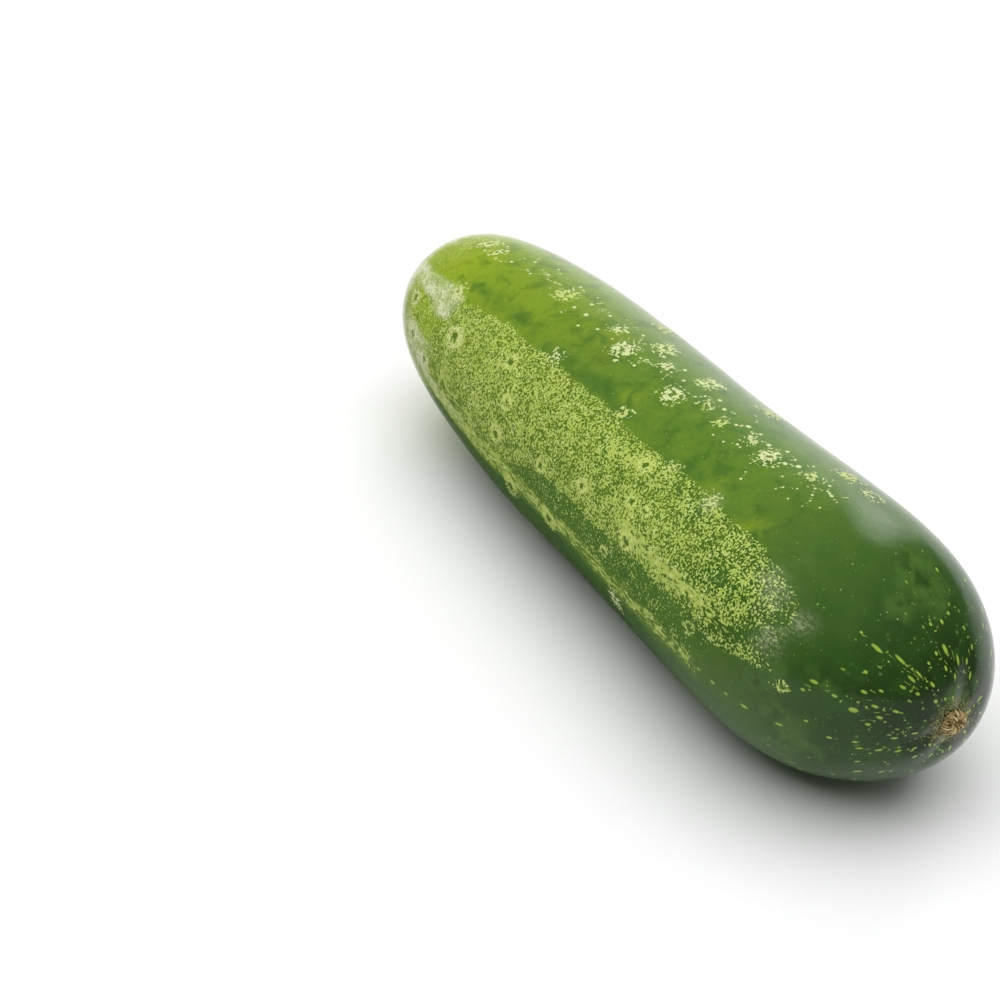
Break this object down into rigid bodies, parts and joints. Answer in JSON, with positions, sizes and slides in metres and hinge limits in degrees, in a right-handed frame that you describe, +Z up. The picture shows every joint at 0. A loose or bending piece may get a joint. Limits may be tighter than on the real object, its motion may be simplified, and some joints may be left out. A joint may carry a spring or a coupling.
{
  "type": "cucumber",
  "caption": "Whole ripe cucumber lying on its side: blunt stem end with a corky scar, paler blossom end, dark green waxy skin with a speckled ground patch.",
  "frame": {"origin": "on the ground under the middle of the fruit's bounding box", "axes": "+X towards the stem end, -X towards the blossom end, +Z up, with the fruit lying on its side"},
  "size_m": [0.1884, 0.0558, 0.0541],
  "materials": {
    "skin": "waxy, slightly glossy, speckled"
  },
  "bodies": {
    "root": {"cucumber": "skin"}
  },
  "joints": []
}
